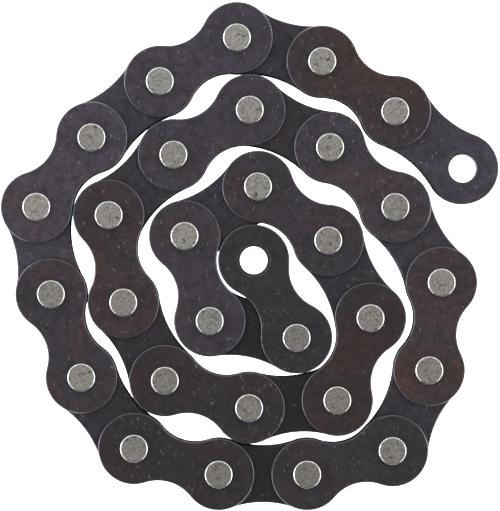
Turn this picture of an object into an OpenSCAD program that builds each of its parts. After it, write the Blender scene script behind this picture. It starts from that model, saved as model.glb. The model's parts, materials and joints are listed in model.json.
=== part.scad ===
// Roller chain, 12.7 mm pitch, laid flat in an anticlockwise coil. Its pins stand
// upright and their lower ends rest on z = 0. Link 1 is the outer end of the coil,
// and inner and outer links alternate from there to the outer link at its middle.

/* [Chain] */
// Distance between two neighbouring joints
pitch = 12.7; // [12.7:0.05:13.2]
// Clear width between the two inner plates
inner_width = 6.35; // [6.3:0.05:8]
// Gap between an inner plate and the outer plate beside it
side_play = 0.1; // [0.05:0.05:0.3]

/* [Plates] */
// Thickness of every plate
plate_t = 1.5; // [1:0.1:2]
// Depth of an outer plate across its round ends
outer_depth = 10.3; // [9.4:0.1:10.3]
// Depth of an outer plate at its waist
outer_waist = 6.3; // [5:0.1:7]
// Depth of an inner plate across its round ends
inner_depth = 10.3; // [9.4:0.1:10.3]
// Depth of an inner plate at its waist
inner_waist = 8.1; // [6.5:0.1:8.3]

/* [Pins, bushes and rollers] */
// Diameter of a pin
pin_d = 3.96; // [3.6:0.01:3.96]
// Length of a pin over its riveted ends
pin_length = 14.7; // [14:0.05:16]
// Width of the bevel round each end of a pin
pin_bevel = 0.15; // [0.1:0.05:0.6]
// Bore of a bush, in which its pin turns
bush_bore = 4.02; // [4.02:0.01:4.1]
// Outside diameter of a bush
bush_d = 5.6; // [5:0.05:5.6]
// Bore of a roller, which turns on its bush
roller_bore = 5.72; // [5.72:0.01:5.8]
// Outside diameter of a roller
roller_d = 7.77; // [7.2:0.01:8]
// Width of a roller
roller_width = 6.2; // [4.5:0.05:6.2]

/* [Coil] */
// Direction of the outermost link, in degrees anticlockwise from X
first_heading = 140; // [0:0.5:359.5]

/* [Hidden] */
// Bend at each joint in degrees, from the outer end inwards, turn by turn
outer_turn = [5.5, 19, 45, 10, 12, 48, 10.5, 16.5, 36.5, 17, 15.5, 50, 16.5];
middle_turn = [39.5, 16, 17.5, 55.5, 12.5, 56.5, 18.5, 44, 23];
inner_turn = [63, 50.5, 24, 71.5, 72.5, 62.5, 130];
bends = concat(outer_turn, middle_turn, inner_turn);

links = len(bends) + 1;
link_pairs = links / 2;

// Hairline round a pressed-in pin or bush, so that each piece stays a solid of its own
press_gap = 0.01;
// Waist arcs are this much wider than arcs that would just touch the round ends
waist_ease = 1.05;
// Distance that a cutting shape runs past the face it cuts
past = 1;
$fn = 96;

// Heights of the layers, from the lower ends of the pins upwards
middle_z = pin_length / 2;
inner_face = inner_width / 2;
outer_face = inner_face + plate_t + side_play;
bush_length = inner_width + 2 * plate_t;

// Headings of the links and places of the joints, from the outer end inwards
function total(v, n) = n == 0 ? 0 : v[n - 1] + total(v, n - 1);
heading = [for (i = [0 : links - 1]) first_heading + total(bends, i)];
step = [for (a = heading) pitch * [cos(a), sin(a)]];
function reach(n) = n == 0 ? [0, 0] : step[n - 1] + reach(n - 1);
walk = [for (i = [0 : links]) reach(i)];
walk_x = [for (p = walk) p[0]];
walk_y = [for (p = walk) p[1]];
coil_middle = [max(walk_x) + min(walk_x), max(walk_y) + min(walk_y)] / 2;
joint = [for (p = walk) p - coil_middle];

function two_digits(n) = n < 10 ? str("0", n) : str(n);
function outer_name(n) = str("outer_link_", two_digits(n));
function inner_name(n) = str("inner_link_", two_digits(n));
function roller_name(n) = str("roller_", two_digits(n));

// Radius of a waist arc, for a round end of radius r and half a waist w
function waist_r(r, w) = waist_ease * (pow(pitch / 2, 2) + w * w - r * r) / (2 * (r - w));

// Outline of a plate with its joints at x = 0 and x = pitch: two round ends of radius r,
// a web between them and a hollow arc on each side, w from the middle at the waist
module outline(r, w) {
    arc_r = waist_r(r, w);
    arc_y = w + arc_r;
    away = norm([pitch / 2, arc_y]);
    corner_x = r * pitch / 2 / away;
    corner_y = r * arc_y / away;
    difference() {
        union() {
            circle(r);
            translate([pitch, 0]) circle(r);
            translate([corner_x, -corner_y]) square([pitch - 2 * corner_x, 2 * corner_y]);
        }
        for (side = [-1, 1]) translate([pitch / 2, side * arc_y]) circle(arc_r);
    }
}

// One flat plate, from z = 0 to its thickness, with a hole at each joint
module plate(depth, waist, hole_d) {
    difference() {
        linear_extrude(plate_t) outline(depth / 2, waist / 2);
        for (x = [0, pitch]) translate([x, 0, -past]) cylinder(h = plate_t + 2 * past, d = hole_d);
    }
}

// The two plates of a link, face being the height of each one's inner face from the middle
module plate_pair(depth, waist, hole_d, face) {
    for (z = [face, -face - plate_t]) translate([0, 0, z]) plate(depth, waist, hole_d);
}

// A ring about Z, centred on z = 0
module ring(outside_d, bore_d, width) {
    difference() {
        cylinder(h = width, d = outside_d, center = true);
        cylinder(h = width + 2 * past, d = bore_d, center = true);
    }
}

// A pin about Z, centred on z = 0, with a bevel round each end
module pin() {
    r = pin_d / 2;
    z = pin_length / 2;
    rotate_extrude() polygon([
        [0, -z], [r - pin_bevel, -z], [r, pin_bevel - z],
        [r, z - pin_bevel], [r - pin_bevel, z], [0, z]
    ]);
}

// Puts a link's own frame in the coil: its first joint at the origin, its second on X
module at_link(i) {
    translate([joint[i][0], joint[i][1], middle_z]) rotate(heading[i]) children();
}

// Inner link: two plates and the two bushes pressed into them
module inner_link(i) {
    color("dimgray") at_link(i) {
        plate_pair(inner_depth, inner_waist, bush_d + 2 * press_gap, inner_face);
        for (x = [0, pitch]) translate([x, 0, 0]) ring(bush_d, bush_bore, bush_length);
    }
}

// Outer link: two plates and its riveted pins; the link at the coil's middle has only
// the pin of its first joint, and its second pair of holes is open
module outer_link(i) {
    pin_places = i == links - 1 ? [0] : [0, pitch];
    color("slategray") at_link(i) {
        plate_pair(outer_depth, outer_waist, pin_d + 2 * press_gap, outer_face);
        for (x = pin_places) translate([x, 0, 0]) pin();
    }
}

// Roller: a plain ring, free to turn on its bush
module roller(i) {
    color("darkgray") translate([joint[i][0], joint[i][1], middle_z])
        ring(roller_d, roller_bore, roller_width);
}

for (n = [1 : link_pairs]) {
    inner_link(2 * n - 2);
    outer_link(2 * n - 1);
}
for (n = [1 : links]) {
    roller(n - 1);
}
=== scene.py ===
"""Roller chain coiled flat on a white table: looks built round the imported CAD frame. Metres."""
import json
import math
import random

import bmesh
import bpy
from mathutils import Matrix, Vector
from mathutils.geometry import tessellate_polygon


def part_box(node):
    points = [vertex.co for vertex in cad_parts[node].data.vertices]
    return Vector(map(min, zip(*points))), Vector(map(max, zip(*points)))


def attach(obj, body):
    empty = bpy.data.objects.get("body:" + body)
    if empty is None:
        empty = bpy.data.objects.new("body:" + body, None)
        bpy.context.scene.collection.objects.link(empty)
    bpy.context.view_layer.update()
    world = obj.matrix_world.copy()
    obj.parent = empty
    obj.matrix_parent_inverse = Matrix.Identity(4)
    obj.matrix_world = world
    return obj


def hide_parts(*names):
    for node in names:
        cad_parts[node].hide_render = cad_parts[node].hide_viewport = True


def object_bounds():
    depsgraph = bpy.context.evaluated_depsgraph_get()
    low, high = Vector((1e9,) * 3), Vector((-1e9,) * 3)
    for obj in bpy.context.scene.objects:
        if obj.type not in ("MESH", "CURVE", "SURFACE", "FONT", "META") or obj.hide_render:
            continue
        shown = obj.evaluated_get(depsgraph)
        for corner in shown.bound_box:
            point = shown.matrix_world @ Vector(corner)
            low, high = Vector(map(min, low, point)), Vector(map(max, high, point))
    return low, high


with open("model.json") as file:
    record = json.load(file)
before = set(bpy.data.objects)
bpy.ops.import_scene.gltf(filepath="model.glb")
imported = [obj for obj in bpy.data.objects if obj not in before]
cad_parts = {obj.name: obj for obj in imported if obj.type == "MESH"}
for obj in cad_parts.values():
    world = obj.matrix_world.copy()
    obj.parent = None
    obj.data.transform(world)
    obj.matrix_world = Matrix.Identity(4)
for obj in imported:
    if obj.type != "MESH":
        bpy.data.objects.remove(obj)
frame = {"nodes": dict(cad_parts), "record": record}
cad_low, cad_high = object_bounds()

MM = 0.001

# ---------------------------------------------------------------- sizes of the pieces
# Plates: thickness, play between an inner and an outer one, radius of the round ends and half
# depth at the waist
PLATE_T = 1.5 * MM
SIDE_PLAY = 0.1 * MM
OUTER_END_R = 5.15 * MM
OUTER_WAIST = 3.15 * MM
INNER_END_R = 5.15 * MM
INNER_WAIST = 4.05 * MM
# Radii of the pieces that a link turns on
PIN_R = 1.98 * MM
BUSH_R = 2.8 * MM
BUSH_BORE_R = 2.01 * MM
ROLLER_BORE_R = 2.86 * MM
# How far a plate's hole clears the pin or bush that is pressed into it
HOLE_GAP = 0.005 * MM

# Edges of a punched plate: the burr below, the wide roll-over of the punch above, a flat strip
# beside each, and the nearly sharp edge of a hole
BURR = 0.08 * MM
ROLL_IN, ROLL_DOWN = 0.26 * MM, 0.18 * MM
FLAT_STRIP = 0.1 * MM
HOLE_EDGE = 0.01 * MM
# The stamped recess round a riveted pin
RECESS_WIDE, RECESS_DEEP, RECESS_SLOPE = 0.36 * MM, 0.04 * MM, 0.045 * MM
# The bevel at each end of a pin, whose two corners are eased
BEVEL_IN, BEVEL_DOWN, BEVEL_EASE = 0.12 * MM, 0.08 * MM, 0.02 * MM
# Rounded rims of bushes and rollers, outside and in the bore
BUSH_RIM, BUSH_MOUTH = 0.01 * MM, 0.1 * MM
ROLLER_RIM, ROLLER_MOUTH = 0.3 * MM, 0.15 * MM

# Straight pieces that stand for round ones
ARC_END, ARC_WAIST = 44, 22
EDGE_STEPS = 5
HOLE_SEGMENTS, PIN_SEGMENTS, BUSH_SEGMENTS, ROLLER_SEGMENTS = 72, 64, 64, 72
BUSH_RIM_STEPS, ROLLER_RIM_STEPS, MOUTH_STEPS = 2, 4, 3
# An edge that turns by more than this is shaded as a crease
SHARP_ANGLE = math.radians(40)

# ---------------------------------------------------------------- places, from the frame
record = frame["record"]
joint_at = {j["child"]: Vector(j["pos_m"]) for j in record["behaviour"]["joints"]}
mount_at = {m["name"]: Vector(m["pos_m"]) for m in record["mounts"]}
ROLLERS = sorted(n for n in frame["nodes"] if n.startswith("roller_"))
LINKS = len(ROLLERS)
joints = [joint_at[name] for name in ROLLERS] + [mount_at["inner_end_holes"]]


def link_name(i):
    """The CAD node and body of link i, counted from 0 at the outer end of the coil."""
    kind = "inner_link" if i % 2 == 0 else "outer_link"
    return f"{kind}_{i // 2 + 1:02d}"


# ---------------------------------------------------------------- mesh helpers
def new_object(name, bm, material):
    """A smooth-shaded object from bmesh data, with its sharp edges kept sharp."""
    mesh = bpy.data.meshes.new(name)
    bmesh.ops.recalc_face_normals(bm, faces=bm.faces)
    bm.to_mesh(mesh)
    bm.free()
    mesh.materials.append(material)
    mesh.polygons.foreach_set("use_smooth", [True] * len(mesh.polygons))
    mesh.set_sharp_from_angle(angle=SHARP_ANGLE)
    obj = bpy.data.objects.new(name, mesh)
    bpy.context.scene.collection.objects.link(obj)
    return obj


def bridge(bm, ring_a, ring_b):
    """Quads between two closed rings of as many vertices."""
    n = len(ring_a)
    for k in range(n):
        bm.faces.new((ring_a[k], ring_a[(k + 1) % n], ring_b[(k + 1) % n], ring_b[k]))


def outline(end_r, waist, inset, pitch):
    """Points of a plate's outline moved inwards by inset: two round ends joined by hollow
    arcs that just touch them, anticlockwise from the right-hand end."""
    half = pitch / 2
    arc_r = (half ** 2 + waist ** 2 - end_r ** 2) / (2 * (end_r - waist))
    arc_y = waist + arc_r
    turn = math.atan2(arc_y, -half)
    sweep = math.pi / 2 - math.atan2(arc_y, half)
    points = []
    for end, start in ((pitch, -turn), (0.0, math.pi - turn)):
        side = 1 if end else -1
        for k in range(ARC_END):
            a = start + 2 * turn * k / (ARC_END - 1)
            points.append((end + (end_r - inset) * math.cos(a), (end_r - inset) * math.sin(a)))
        for k in range(1, ARC_WAIST):
            a = -math.pi / 2 + sweep - 2 * sweep * k / ARC_WAIST
            x, y = (arc_r + inset) * math.cos(a), arc_y + (arc_r + inset) * math.sin(a)
            points.append((half + side * x, side * y))
    return points


def edge_profile(wide, deep):
    """(inset, height) pairs up the edge of a punched plate: a small round below, a straight
    wall and a roll-over of the given width and depth on top, each with a flat strip beside."""
    rows = [(BURR + FLAT_STRIP, 0.0)]
    for k in range(EDGE_STEPS + 1):
        a = math.pi / 2 * k / EDGE_STEPS
        rows.append((BURR * (1 - math.sin(a)), BURR * (1 - math.cos(a))))
    for k in range(EDGE_STEPS + 1):
        a = math.pi / 2 * k / EDGE_STEPS
        rows.append((wide * (1 - math.cos(a)), PLATE_T - deep * (1 - math.sin(a))))
    rows.append((wide + FLAT_STRIP, PLATE_T))
    return rows


def plate(name, material, end_r, waist, hole_r, riveted, pitch, face_up):
    """A punched link plate lying on z = 0, holes at x = 0 and x = pitch. A riveted one has a
    shallow stamped recess round each hole. The rounded side of the punching looks up, or
    down when face_up is False."""
    bm = bmesh.new()
    rows = edge_profile(ROLL_IN, ROLL_DOWN)
    outer = [[bm.verts.new((x, y, z)) for x, y in outline(end_r, waist, inset, pitch)]
             for inset, z in rows]
    for a, b in zip(outer, outer[1:]):
        bridge(bm, a, b)
    hole_rows = edge_profile(HOLE_EDGE, HOLE_EDGE)
    if riveted:
        floor = PLATE_T - RECESS_DEEP
        hole_rows = [row for row in hole_rows if row[1] < floor]
        hole_rows += [(0, floor), (RECESS_WIDE, floor), (RECESS_WIDE + RECESS_SLOPE, PLATE_T),
                      (RECESS_WIDE + 2 * RECESS_SLOPE, PLATE_T)]
    holes = []
    for centre in (0.0, pitch):
        rings = []
        for inset, z in hole_rows:
            r = hole_r + inset
            ring = []
            for k in range(HOLE_SEGMENTS):
                a = 2 * math.pi * k / HOLE_SEGMENTS
                ring.append(bm.verts.new((centre + r * math.cos(a), r * math.sin(a), z)))
            rings.append(ring)
        for a, b in zip(rings, rings[1:]):
            bridge(bm, b, a)
        holes.append(rings)
    # The lower and upper faces, between the outline and the holes
    for level in (0, -1):
        loops = [outer[level]] + [list(reversed(rings[level])) for rings in holes]
        flat = [v for loop in loops for v in loop]
        for tri in tessellate_polygon([[v.co for v in loop] for loop in loops]):
            bm.faces.new([flat[k] for k in tri])
    if not face_up:
        bmesh.ops.transform(bm, verts=bm.verts, matrix=Matrix.Translation((0, 0, PLATE_T))
                            @ Matrix.Diagonal((1, 1, -1, 1)))
    return new_object(name, bm, material)


def lathe(name, material, profile, segments):
    """A turned piece about Z from (radius, height) pairs. A profile that starts and ends on
    the axis is closed by its end points, any other is joined end to start."""
    bm = bmesh.new()
    solid = profile[0][0] == 0 and profile[-1][0] == 0
    rings = []
    for r, z in (profile[1:-1] if solid else profile):
        rings.append([bm.verts.new((r * math.cos(2 * math.pi * k / segments),
                                    r * math.sin(2 * math.pi * k / segments), z))
                      for k in range(segments)])
    for a, b in zip(rings, rings[1:]):
        bridge(bm, a, b)
    if solid:
        for ring, (_, z) in ((rings[0], profile[0]), (rings[-1], profile[-1])):
            tip = bm.verts.new((0, 0, z))
            for k in range(segments):
                bm.faces.new((tip, ring[k], ring[(k + 1) % segments]))
    else:
        bridge(bm, rings[-1], rings[0])
    return new_object(name, bm, material)


def quarter(cx, cz, r, start, steps):
    """Points round a quarter circle in the (radius, height) plane, anticlockwise from start."""
    return [(cx + r * math.cos(start + math.pi / 2 * k / steps),
             cz + r * math.sin(start + math.pi / 2 * k / steps)) for k in range(steps + 1)]


def tube_profile(outer_r, bore_r, half, rim, rim_steps, mouth):
    """The profile of a tube of the given half length, with rounded rims outside and in the bore."""
    return (quarter(outer_r - rim, rim - half, rim, -math.pi / 2, rim_steps)
            + quarter(outer_r - rim, half - rim, rim, 0, rim_steps)
            + quarter(bore_r + mouth, half - mouth, mouth, math.pi / 2, MOUTH_STEPS)
            + quarter(bore_r + mouth, mouth - half, mouth, math.pi, MOUTH_STEPS))


# ---------------------------------------------------------------- colours and wear
# Base colours, linear: blue-black and browned oxide, the cut walls of a plate, painted dark as painted
# shade, and its worn edges
OUTER_BLUE = (0.0245, 0.0202, 0.0275)
INNER_BLUE = (0.0208, 0.0172, 0.0252)
BROWN = (0.0415, 0.0202, 0.0172)
CUT_WALL_SHADE = (0.019, 0.0175, 0.0195)
BARE_PLATE = (0.2, 0.205, 0.225)
# The grain and pits of a pin's sawn end, its bevel and its side, and the rollers' two greys
PIN_DARK, PIN_LIGHT = (0.17, 0.159, 0.143), (0.45, 0.427, 0.402)
PIN_PIT = (0.13, 0.11, 0.08)
PIN_BEVEL, PIN_SIDE = (0.78, 0.78, 0.77), (0.27, 0.265, 0.26)
ROLLER_DARK, ROLLER_LIGHT = (0.07, 0.068, 0.069), (0.15, 0.146, 0.146)

# The lists run from the outer end of the coil inwards
# How far the oxide has browned, on each outer link and on all inner links
OUTER_BROWNED = (0.8, 0.1, 0.25, 0.45, 0.4, 0.35, 0.85, 0.35, 0.3, 0.65, 0.55, 0.9, 0.4, 0.15, 0.2)
INNER_BROWNED = 0.12
# How light each link's oxide is; on the inner links this also holds painted shade, as the links that lie
# in shadow are painted darker (0.3 and 0.4)
OUTER_TONE = (1.1, 1.9, 2.3, 1.3, 0.7, 0.9, 1.3, 1.6, 1.6, 1.1, 0.7, 0.7, 1.2, 1.5, 0.8)
INNER_TONE_AND_SHADE = (2.3, 1.8, 2.7, 2.9, 1.4, 0.4, 1.6, 2.0, 1.6, 2.0, 1.3, 0.4, 1.4, 2.2, 0.3)
# How light each pin's end is painted: painted light, lighter or darker pin by pin for the fall of the
# light across the coil
PIN_PAINTED_LIGHT = (1.1, 1.1, 1.2, 1.15, 1.05, 1.2, 0.95, 1.05, 0.9, 0.8, 0.75, 0.85, 0.9, 1.05, 0.95,
            1.05, 1.1, 1.05, 1.1, 0.95, 0.85, 0.85, 0.85, 0.95, 0.95, 1.05, 1.1, 0.95, 0.8)
# The first seed of each kind of piece; bushes share one material, and so do rollers
INNER_SEED, OUTER_SEED, PIN_SEED, BUSH_SEED, ROLLER_SEED = 100, 200, 300, 400, 401


# ---------------------------------------------------------------- materials
def node_helpers(tree):
    """Two helpers for a node tree: one adds a node with its inputs and settings, one links."""
    def add(kind, **settings):
        node = tree.nodes.new(kind)
        for key, value in settings.items():
            if key in node.inputs:
                node.inputs[key].default_value = value
            else:
                setattr(node, key, value)
        return node

    return add, tree.links.new


def shader(name):
    """A material with its Principled shader, and the helpers for its nodes."""
    mat = bpy.data.materials.new(name)
    mat.use_nodes = True
    return mat, mat.node_tree.nodes["Principled BSDF"], *node_helpers(mat.node_tree)


def shifted(add, link, seed):
    """Object coordinates moved by up to a metre, so that each seed has a pattern of its own."""
    draw = random.Random(seed)
    coords = add("ShaderNodeTexCoord")
    place = add("ShaderNodeVectorMath", operation="ADD")
    link(coords.outputs["Object"], place.inputs[0])
    place.inputs[1].default_value = [draw.uniform(-1, 1) for _ in range(3)]
    return place.outputs[0]


def noise(add, link, where, scale, detail=4.0, rough=0.55):
    """A noise from 0 to 1 over the given coordinates, its scale in features per metre."""
    node = add("ShaderNodeTexNoise", Scale=scale, Detail=detail, Roughness=rough)
    link(where, node.inputs["Vector"])
    return node.outputs["Fac"]


def ramp(add, link, fac, stops):
    """A colour ramp over fac. Each stop is a place and a grey level or a colour."""
    node = add("ShaderNodeValToRGB")
    link(fac, node.inputs["Fac"])
    elements = node.color_ramp.elements
    while len(elements) < len(stops):
        elements.new(0.5)
    for element, (at, value) in zip(elements, stops):
        element.position = at
        element.color = (*value, 1) if isinstance(value, tuple) else (value, value, value, 1)
    return node.outputs["Color"]


# Where a colour mix has its factor, its two colours and its result among all its sockets
MIX_FACTOR, MIX_A, MIX_B, MIX_RESULT = 0, 6, 7, 2


def mix(add, link, fac, a, b, mode="MIX"):
    """Colours a and b mixed by fac. Each of the three is an output, a colour or a number."""
    node = add("ShaderNodeMix", data_type="RGBA", blend_type=mode)
    for socket, value in ((MIX_FACTOR, fac), (MIX_A, a), (MIX_B, b)):
        if isinstance(value, bpy.types.NodeSocket):
            link(value, node.inputs[socket])
        elif isinstance(value, tuple):
            node.inputs[socket].default_value = (*value, 1)
        else:
            node.inputs[socket].default_value = value
    return node.outputs[MIX_RESULT]


# Masks by how far a surface faces up or down: 0 is an upright wall, 1 is flat
WALLS = [(0.06, 1.0), (0.3, 0.0)]
ROUNDED = [(0.06, 0.0), (0.3, 1.0), (0.93, 1.0), (0.985, 0.0)]
WALLS_AND_ROUNDED = [(0.93, 1.0), (0.985, 0.0)]


def slope_mask(add, link, stops):
    """A mask that tells a piece's upright walls and rounded edges from its flat faces."""
    coords = add("ShaderNodeTexCoord")
    parts = add("ShaderNodeSeparateXYZ")
    link(coords.outputs["Normal"], parts.inputs[0])
    tilt = add("ShaderNodeMath", operation="ABSOLUTE")
    link(parts.outputs["Z"], tilt.inputs[0])
    return ramp(add, link, tilt.outputs[0], stops)


def scratches(add, link, where, turn):
    """Short hairlines: thin bands of a stretched noise, broken up by a second noise."""
    lay = add("ShaderNodeMapping")
    link(where, lay.inputs["Vector"])
    lay.inputs["Rotation"].default_value = (0, 0, turn)
    lay.inputs["Scale"].default_value = (1, 0.42, 1)
    line = noise(add, link, lay.outputs[0], scale=3000, detail=1, rough=0.5)
    thin = ramp(add, link, line, [(0.68, 0.0), (0.73, 1.0)])
    breaks = noise(add, link, where, scale=600, detail=2)
    broken = ramp(add, link, breaks, [(0.5, 0.0), (0.62, 1.0)])
    return mix(add, link, 1.0, thin, broken, "MULTIPLY")


def tinted(colour, tone):
    """A colour made lighter or darker by the factor tone."""
    return tuple(tone * c for c in colour)


def plate_steel(name, seed, blue, tone, browned):
    """Blackened plate steel: a blue-black oxide that browns in soft patches, fine grain,
    light specks and hairline scratches, walls painted darker as painted shade, bare metal along rounded
    edges."""
    mat, bsdf, add, link = shader(name)
    where = shifted(add, link, seed)
    # The further a plate has browned, the lower the noise at which its brown patches start
    brown_from, brown_full = 0.62 - 0.4 * browned, 0.95 - 0.4 * browned
    patches = ramp(add, link, noise(add, link, where, scale=130, detail=3),
                   [(brown_from, 0.0), (brown_full, 1.0)])
    # The tone makes the oxide lighter or darker; on the inner links it also paints shade on the links
    # that lie in shadow
    oxide = mix(add, link, patches, tinted(blue, tone), tinted(BROWN, tone))
    mottle = ramp(add, link, noise(add, link, where, scale=800, detail=8, rough=0.75),
                  [(0.3, 0.28), (0.72, 1.75)])
    oxide = mix(add, link, 1.0, oxide, mottle, "MULTIPLY")
    dots = ramp(add, link, noise(add, link, where, scale=2300, detail=2, rough=0.5),
                [(0.64, 0.0), (0.73, 1.0)])
    crowd = ramp(add, link, noise(add, link, where, scale=330, detail=2),
                 [(0.52, 0.0), (0.66, 1.0)])
    specks = mix(add, link, 1.0, dots, crowd, "MULTIPLY")
    # Two sets of scratches, which run in different directions on every link
    for turn in (0.3 + seed, 1.4 + 0.7 * seed):
        specks = mix(add, link, 1.0, specks, scratches(add, link, where, turn), "LIGHTEN")
    # Marks show a little lighter where the tone is light, a tone that on the inner links also carries
    # painted shade
    mark = 0.11 + 0.04 * tone
    oxide = mix(add, link, specks, oxide, (mark, 0.98 * mark, mark))
    # Painted shade: every upright wall gets a darker, greyer colour than the oxide on the faces
    oxide = mix(add, link, slope_mask(add, link, WALLS), oxide, CUT_WALL_SHADE)
    edge = slope_mask(add, link, ROUNDED)
    wear = ramp(add, link, noise(add, link, where, scale=700, detail=5, rough=0.6),
                [(0.3, 0.35), (0.6, 1.0)])
    bare = mix(add, link, 1.0, edge, wear, "MULTIPLY")
    link(mix(add, link, bare, oxide, BARE_PLATE), bsdf.inputs["Base Color"])
    link(bare, bsdf.inputs["Metallic"])
    bsdf.inputs["Specular IOR Level"].default_value = 0.435
    bsdf.inputs["Specular Tint"].default_value = (1, 0.92, 0.94, 1)
    rough = ramp(add, link, noise(add, link, where, scale=1500, detail=5),
                 [(0.3, 0.36), (0.7, 0.5)])
    link(mix(add, link, bare, rough, (0.28, 0.28, 0.28)), bsdf.inputs["Roughness"])
    bump = add("ShaderNodeBump", Strength=0.12, Distance=0.04 * MM)
    link(noise(add, link, where, scale=5000, detail=4, rough=0.6), bump.inputs["Height"])
    link(bump.outputs["Normal"], bsdf.inputs["Normal"])
    return mat


def pin_steel(name, seed, tone):
    """Raw pin steel: a grainy, pitted sawn end, bright bevels and a smooth, darker side."""
    mat, bsdf, add, link = shader(name)
    where = shifted(add, link, seed)
    # The tone is painted light: it makes each pin's end lighter or darker for how the light falls across
    # the coil
    grain = ramp(add, link, noise(add, link, where, scale=3000, detail=6, rough=0.75),
                 [(0.34, tinted(PIN_DARK, tone)), (0.66, tinted(PIN_LIGHT, tone))])
    pits = ramp(add, link, noise(add, link, where, scale=1300, detail=4, rough=0.65),
                [(0.34, 0.0), (0.42, 1.0)])
    end = mix(add, link, pits, PIN_PIT, grain)
    edge = slope_mask(add, link, WALLS_AND_ROUNDED)
    side = slope_mask(add, link, WALLS)
    smooth = mix(add, link, side, PIN_BEVEL, PIN_SIDE)
    link(mix(add, link, edge, end, smooth), bsdf.inputs["Base Color"])
    bsdf.inputs["Metallic"].default_value = 1.0
    rough = ramp(add, link, noise(add, link, where, scale=2500, detail=4),
                 [(0.3, 0.3), (0.7, 0.48)])
    link(mix(add, link, edge, rough, (0.18, 0.18, 0.18)), bsdf.inputs["Roughness"])
    bump = add("ShaderNodeBump", Strength=0.5, Distance=0.05 * MM)
    # Only the flat end is rough from the saw; the bevel and the side are level
    sawn = noise(add, link, where, scale=3500, detail=6, rough=0.7)
    saw_marks = mix(add, link, edge, sawn, (0.5, 0.5, 0.5))
    link(saw_marks, bump.inputs["Height"])
    link(bump.outputs["Normal"], bsdf.inputs["Normal"])
    return mat


def ground_steel(name, seed):
    """Hardened steel of the rollers, with the fine level lines of centreless grinding."""
    mat, bsdf, add, link = shader(name)
    where = shifted(add, link, seed)
    level = add("ShaderNodeMapping")
    link(where, level.inputs["Vector"])
    level.inputs["Scale"].default_value = (0.12, 0.12, 1)
    lines = noise(add, link, level.outputs[0], scale=9000, detail=4, rough=0.7)
    cloud = noise(add, link, where, scale=500, detail=4, rough=0.6)
    tone = mix(add, link, 0.35, lines, cloud)
    colour = ramp(add, link, tone, [(0.35, ROLLER_DARK), (0.65, ROLLER_LIGHT)])
    link(colour, bsdf.inputs["Base Color"])
    bsdf.inputs["Metallic"].default_value = 0.9
    link(ramp(add, link, cloud, [(0.3, 0.26), (0.7, 0.4)]), bsdf.inputs["Roughness"])
    bump = add("ShaderNodeBump", Strength=0.25, Distance=0.02 * MM)
    link(lines, bump.inputs["Height"])
    link(bump.outputs["Normal"], bsdf.inputs["Normal"])
    return mat


# ---------------------------------------------------------------- the chain
pitch = (joints[1] - joints[0]).length
inner_low, inner_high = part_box(link_name(0))
outer_low, outer_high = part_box(link_name(1))
roller_low, roller_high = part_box(ROLLERS[0])
ROLLER_R = (roller_high.x - roller_low.x) / 2
inner_plate_z = (inner_low.z, inner_high.z - PLATE_T)
outer_plate_z = (inner_low.z - SIDE_PLAY - PLATE_T, inner_high.z + SIDE_PLAY)


def place_link(obj, i, z):
    """Puts a plate of link i in the coil, with its lower face at height z."""
    along = joints[i + 1] - joints[i]
    obj.data.transform(Matrix.Rotation(math.atan2(along.y, along.x), 4, "Z"))
    obj.location = (joints[i].x, joints[i].y, z)


def finish_piece(obj, node):
    """Fixes a piece to the body of its node, in place of the CAD shape."""
    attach(obj, node)
    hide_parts(node)


# Plates
for i in range(LINKS):
    node = link_name(i)
    order = i // 2
    inner = i % 2 == 0
    if inner:
        kind, shape, levels, hole = "inner", (INNER_END_R, INNER_WAIST), inner_plate_z, BUSH_R
        seed, blue, tone, browned = INNER_SEED, INNER_BLUE, INNER_TONE_AND_SHADE[order], INNER_BROWNED
    else:
        kind, shape, levels, hole = "outer", (OUTER_END_R, OUTER_WAIST), outer_plate_z, PIN_R
        seed, blue, tone, browned = OUTER_SEED, OUTER_BLUE, OUTER_TONE[order], OUTER_BROWNED[order]
    steel = plate_steel(f"{node}_oxide", seed + i, blue, tone, browned)
    for z, side in zip(levels, ("lower", "upper")):
        name = f"{kind}_plate_{order + 1:02d}_{side}"
        piece = plate(name, steel, *shape, hole + HOLE_GAP, not inner, pitch, side == "upper")
        place_link(piece, i, z)
        finish_piece(piece, node)

# Pins
pin_half = (outer_high.z - outer_low.z) / 2
bevel_r = PIN_R - BEVEL_IN
half_profile = [(PIN_R, pin_half - BEVEL_DOWN - BEVEL_EASE), (PIN_R - BEVEL_EASE, pin_half - BEVEL_DOWN),
                (bevel_r, pin_half - BEVEL_EASE / 2), (bevel_r - BEVEL_EASE, pin_half),
                (bevel_r - 2 * BEVEL_EASE, pin_half), (PIN_R / 2, pin_half), (0.0, pin_half)]
pin_profile = [(r, -z) for r, z in reversed(half_profile)] + half_profile
for k in range(1, LINKS):
    steel = pin_steel(f"pin_{k:02d}_steel", PIN_SEED + k, PIN_PAINTED_LIGHT[k - 1])
    pin = lathe(f"pin_{k:02d}", steel, pin_profile, PIN_SEGMENTS)
    pin.location = joints[k]
    outer_link = k if k % 2 else k - 1
    finish_piece(pin, link_name(outer_link))

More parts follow.
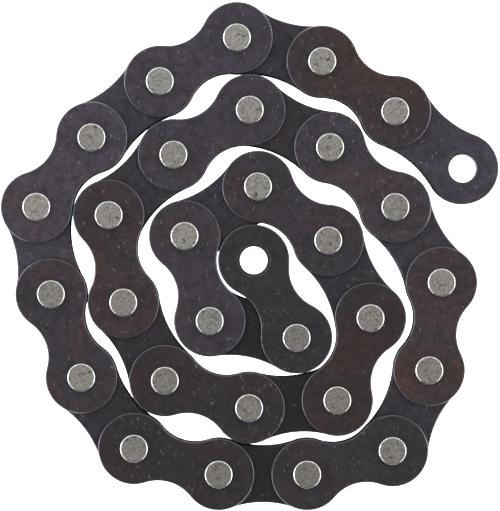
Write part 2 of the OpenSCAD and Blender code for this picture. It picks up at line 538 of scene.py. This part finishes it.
# Bushes and rollers
bush_mat = plate_steel("bush_oxide", BUSH_SEED, INNER_BLUE, INNER_TONE_AND_SHADE[0], INNER_BROWNED)
roller_mat = ground_steel("roller_steel", ROLLER_SEED)
bush_half = (inner_high.z - inner_low.z) / 2
roller_half = (roller_high.z - roller_low.z) / 2
bush_profile = tube_profile(BUSH_R, BUSH_BORE_R, bush_half, BUSH_RIM, BUSH_RIM_STEPS, BUSH_MOUTH)
roller_profile = tube_profile(ROLLER_R, ROLLER_BORE_R, roller_half, ROLLER_RIM, ROLLER_RIM_STEPS,
                              ROLLER_MOUTH)
for k in range(LINKS):
    bush = lathe(f"bush_{k + 1:02d}", bush_mat, bush_profile, BUSH_SEGMENTS)
    bush.location = joints[k]
    inner_link = k - k % 2
    finish_piece(bush, link_name(inner_link))
    roller = lathe(f"roller_ring_{k + 1:02d}", roller_mat, roller_profile, ROLLER_SEGMENTS)
    roller.location = joints[k]
    finish_piece(roller, ROLLERS[k])

# ---------------------------------------------------------------- camera, table and light
# The camera looks straight down from a height above the chain, on a view of which half the
# longer side is VIEW_HALF_HEIGHT at the top of the chain
CAMERA_HEIGHT = 1.38
VIEW_CENTRE = (0.04 * MM, 0.08 * MM)
VIEW_HALF_HEIGHT = 36.61 * MM
SENSOR = 36.0
CLIP_END = 10

cam_data = bpy.data.cameras.new("camera")
cam_data.sensor_width = SENSOR
cam_data.lens = SENSOR / 2 * CAMERA_HEIGHT / VIEW_HALF_HEIGHT
cam_data.clip_end = CLIP_END
camera = bpy.data.objects.new("camera", cam_data)
camera.location = (*VIEW_CENTRE, cad_high.z + CAMERA_HEIGHT)
bpy.context.scene.collection.objects.link(camera)
bpy.context.scene.camera = camera
bpy.context.scene.view_settings.view_transform = "Standard"

# The table gives off light of its own, so that it stays plain white round the dark chain
TABLE_SIZE = 4.0
TABLE_GAP = 0.01 * MM
TABLE_GLOW = 2.4
bpy.ops.mesh.primitive_plane_add(size=TABLE_SIZE, location=(0, 0, cad_low.z - TABLE_GAP))
table = bpy.context.object
table.name = "table"
mat, bsdf, add, link = shader("white_table")
bsdf.inputs["Base Color"].default_value = (0.5, 0.5, 0.5, 1)
bsdf.inputs["Roughness"].default_value = 0.8
bsdf.inputs["Specular IOR Level"].default_value = 0.0
bsdf.inputs["Emission Color"].default_value = (1, 1, 1, 1)
bsdf.inputs["Emission Strength"].default_value = TABLE_GLOW
table.data.materials.append(mat)


def softbox(name, azimuth, elevation, distance, size, radiance, colour=(1, 1, 1)):
    """A rectangular light aimed at the coil from an angle round it and a height angle, both in
    degrees. Its size is in metres, and its power follows from its size and its radiance."""
    az, el = math.radians(azimuth), math.radians(elevation)
    place = distance * Vector((math.cos(el) * math.cos(az), math.cos(el) * math.sin(az), math.sin(el)))
    light = bpy.data.lights.new(name, "AREA")
    light.shape = "RECTANGLE"
    light.size, light.size_y = size
    light.energy = radiance * math.pi * size[0] * size[1]
    light.color = colour
    obj = bpy.data.objects.new(name, light)
    obj.location = place
    obj.rotation_euler = (-place).to_track_quat("-Z", "Y").to_euler()
    bpy.context.scene.collection.objects.link(obj)


# Each light's angle round the coil, height angle, distance, size, radiance and colour
softbox("left", 180, 24, 1.2, (1.0, 0.5), 3.8, (0.88, 0.93, 1))
softbox("right", 0, 24, 1.2, (1.0, 0.5), 2.6, (0.94, 0.965, 1))
softbox("left_back", 135, 22, 1.2, (0.9, 0.6), 1.2, (0.95, 0.97, 1))
softbox("right_back", 45, 22, 1.2, (0.9, 0.6), 1.0, (0.96, 0.98, 1))
softbox("left_front", 219, 22, 1.2, (0.6, 0.5), 1.2, (0.97, 0.98, 1))
softbox("right_front", 321, 22, 1.2, (0.6, 0.5), 1.2, (0.97, 0.98, 1))
softbox("back", 90, 22, 1.2, (1.2, 0.5), 0.85)
softbox("overhead", 90, 76, 1.6, (1.4, 1.2), 0.5)

# The room round the table by the sine of the height angle: white at the horizon, so that a
# level view has a pale background too, dark above it and grey overhead
ROOM = [(0.0, 1.0), (0.13, 1.0), (0.16, 0.02), (0.35, 0.02), (0.9, 0.5)]
world = bpy.data.worlds.new("studio")
world.use_nodes = True
add, link = node_helpers(world.node_tree)
direction = add("ShaderNodeTexCoord")
height = add("ShaderNodeSeparateXYZ")
link(direction.outputs["Generated"], height.inputs[0])
background = world.node_tree.nodes["Background"]
link(ramp(add, link, height.outputs["Z"], ROOM), background.inputs["Color"])
bpy.context.scene.world = world
